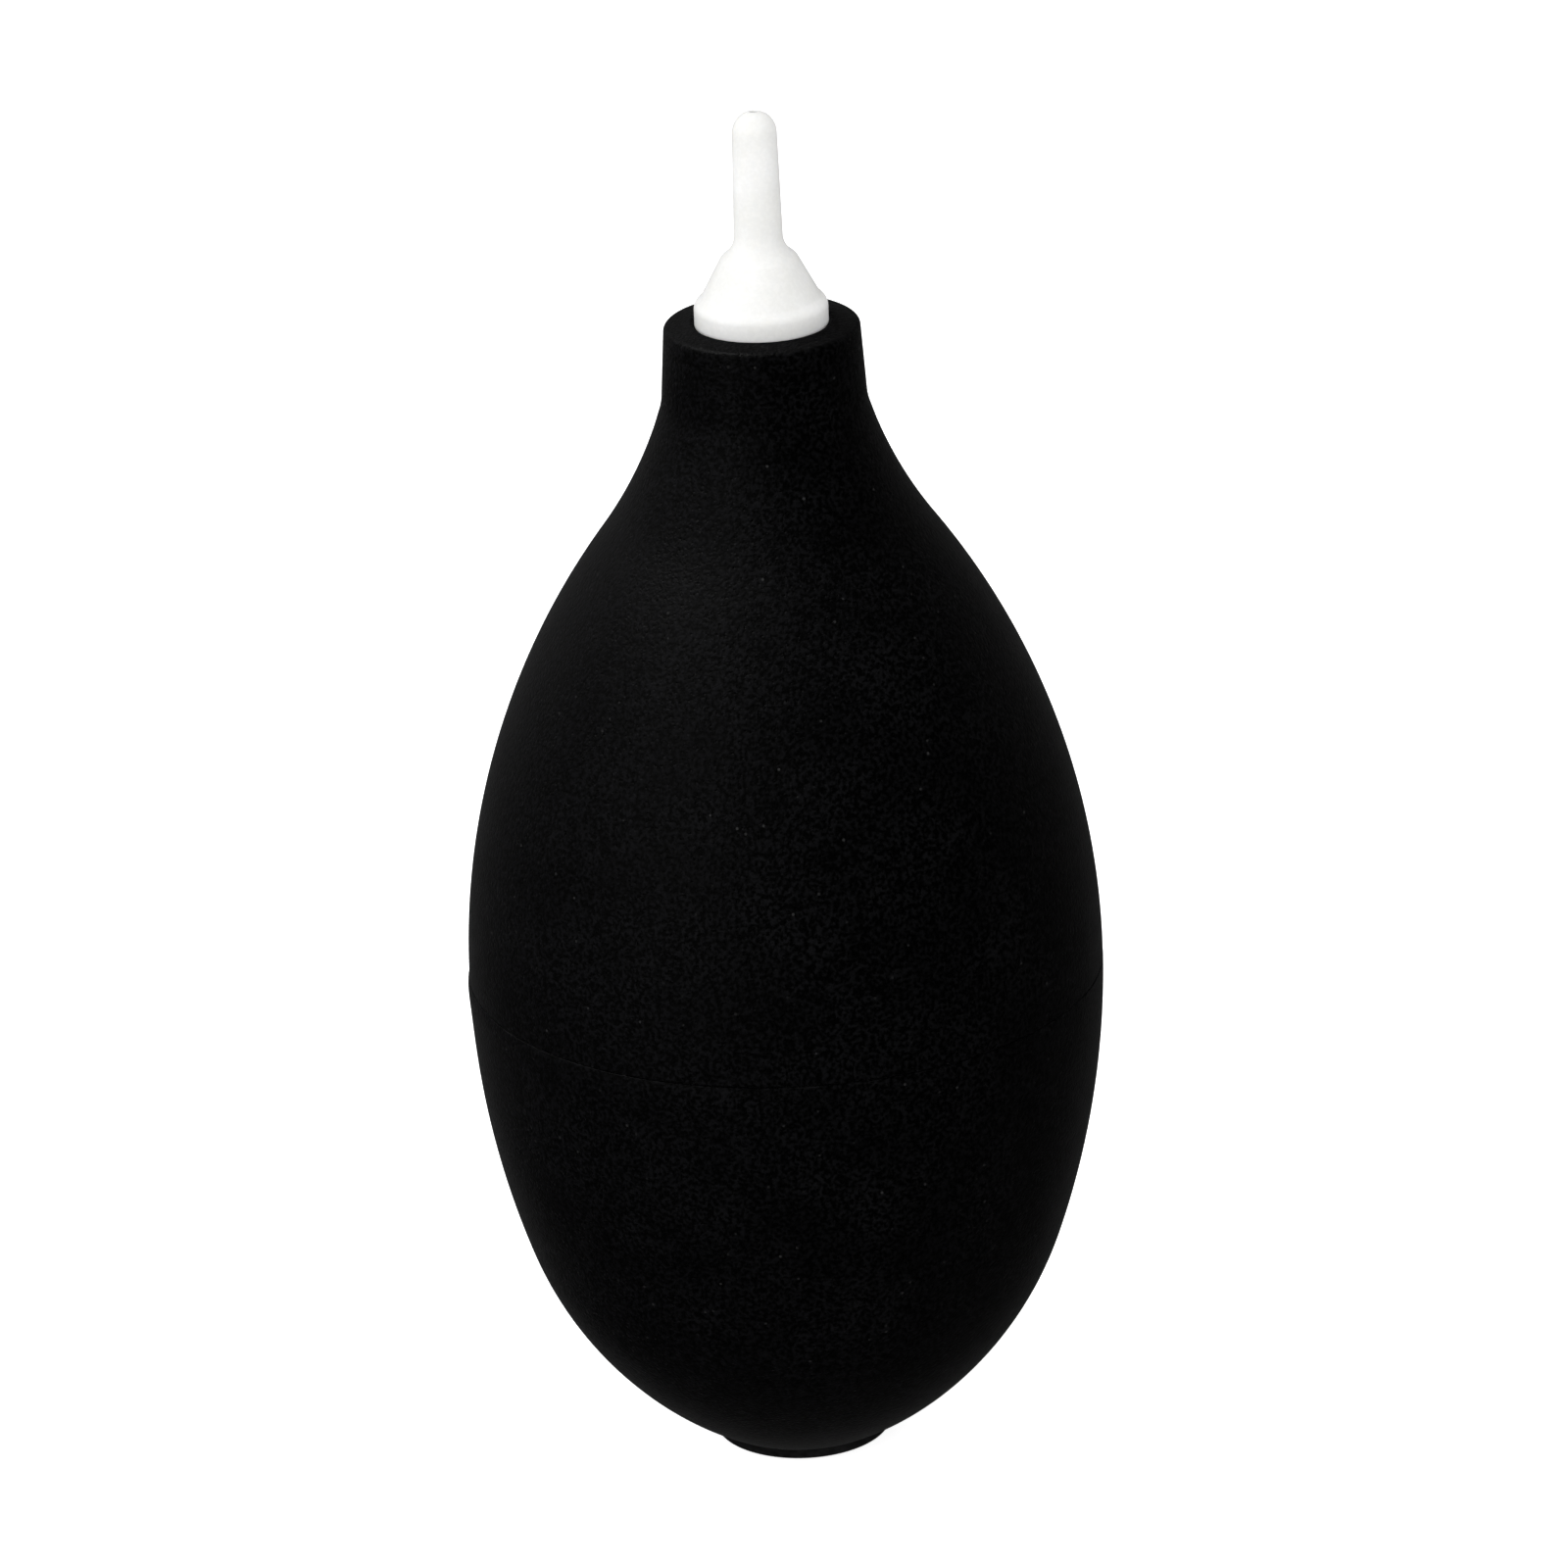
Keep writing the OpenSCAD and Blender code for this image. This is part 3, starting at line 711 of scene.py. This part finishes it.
def makeFloor():
    # pale and level, a hair under the foot; clear from below, so that the foot can be looked at
    size, level = studio["floorSize"] / 2, -studio["floorGap"]
    mesh = bpy.data.meshes.new("floor")
    mesh.from_pydata(
        [(-size, -size, level), (size, -size, level), (size, size, level), (-size, size, level)],
        [], [(0, 1, 2, 3)]
    )
    floor = bpy.data.objects.new("floor", mesh)
    bpy.context.scene.collection.objects.link(floor)
    material = bpy.data.materials.new("paleFloor")
    material.use_nodes = True
    tree = material.node_tree
    shader = tree.nodes["Principled BSDF"]
    clear = add(tree, "ShaderNodeBsdfTransparent")
    side = add(tree, "ShaderNodeNewGeometry")
    mix = add(tree, "ShaderNodeMixShader")
    tree.links.new(side.outputs["Backfacing"], mix.inputs[0])
    tree.links.new(shader.outputs[0], mix.inputs[1])
    tree.links.new(clear.outputs[0], mix.inputs[2])
    tree.links.new(mix.outputs[0], tree.nodes["Material Output"].inputs["Surface"])
    shader.inputs["Base Color"].default_value = (*studio["floorTone"], 1)
    shader.inputs["Roughness"].default_value = studio["floorRough"]
    shader.inputs["Specular IOR Level"].default_value = 0.0
    shader.inputs["Emission Color"].default_value = (1, 1, 1, 1)
    shader.inputs["Emission Strength"].default_value = studio["floorGlow"]
    mesh.materials.append(material)
    floor.visible_glossy = False      # the black rubber shows the lights only
    floor.visible_diffuse = False


def makeWorld():
    # a white room: the camera sees it plain, matt surfaces get its full light, and the black
    # rubber's gloss mirrors only a little of it
    world = bpy.data.worlds.new("studio")
    bpy.context.scene.world = world
    world.use_nodes = True
    tree = world.node_tree
    tree.nodes.clear()
    seen = add(tree, "ShaderNodeBackground", in_Color=(*studio["backdrop"], 1))
    lit = add(tree, "ShaderNodeBackground", in_Color=(1, 1, 1, 1))
    ray = add(tree, "ShaderNodeLightPath")
    level = add(tree, "ShaderNodeMapRange", in_3=studio["spread"], in_4=studio["mirrored"])
    mix = add(tree, "ShaderNodeMixShader")
    out = add(tree, "ShaderNodeOutputWorld")
    tree.links.new(ray.outputs["Is Glossy Ray"], level.inputs["Value"])
    tree.links.new(level.outputs["Result"], lit.inputs["Strength"])
    tree.links.new(ray.outputs["Is Camera Ray"], mix.inputs[0])
    tree.links.new(lit.outputs[0], mix.inputs[1])
    tree.links.new(seen.outputs[0], mix.inputs[2])
    tree.links.new(mix.outputs[0], out.inputs[0])


def makeSoftbox(name, lamp):
    # a square flat light at its direction and distance from the bulb, facing it
    turn, rise = math.radians(lamp["turn"]), math.radians(lamp["rise"])
    away = Vector((
        math.sin(turn) * math.cos(rise), -math.cos(turn) * math.cos(rise), math.sin(rise)
    ))
    data = bpy.data.lights.new(name, "AREA")
    data.size = lamp["size"]
    data.energy = lamp["power"]
    box = bpy.data.objects.new(name, data)
    bpy.context.scene.collection.objects.link(box)
    box.location = Vector(studio["lampAim"]) + studio["lampDistance"] * away
    box.rotation_mode = "QUATERNION"
    box.rotation_quaternion = (-away).to_track_quat("-Z", "Y")
    box.visible_camera = False
    return box


makeFloor()
makeWorld()
for name, lamp in softboxes.items():
    makeSoftbox(name, lamp)
makeSoftbox("wash", wash).visible_glossy = False

shot = {
    "aim": (0.00037, 0, 0.0554), "distance": 0.62, "elevation": 21.8, "roll": -2.18,
    "lens": 181.9, "sensor": 36.0, "near": 0.05, "far": 20,
}


def makeCamera():
    # looks at the aim from the front and above, turned a little about its own line of sight
    tilt = math.radians(shot["elevation"])
    away = Vector((0, -math.cos(tilt), math.sin(tilt)))
    data = bpy.data.cameras.new("camera")
    data.lens, data.sensor_width = shot["lens"], shot["sensor"]
    data.clip_start, data.clip_end = shot["near"], shot["far"]
    camera = bpy.data.objects.new("camera", data)
    bpy.context.scene.collection.objects.link(camera)
    camera.location = Vector(shot["aim"]) + shot["distance"] * away
    camera.rotation_mode = "QUATERNION"
    roll = Quaternion((0, 0, 1), math.radians(shot["roll"]))
    camera.rotation_quaternion = (-away).to_track_quat("-Z", "Y") @ roll
    bpy.context.scene.camera = camera


makeCamera()
bpy.context.scene.view_settings.view_transform = "Standard"
print("studio made")
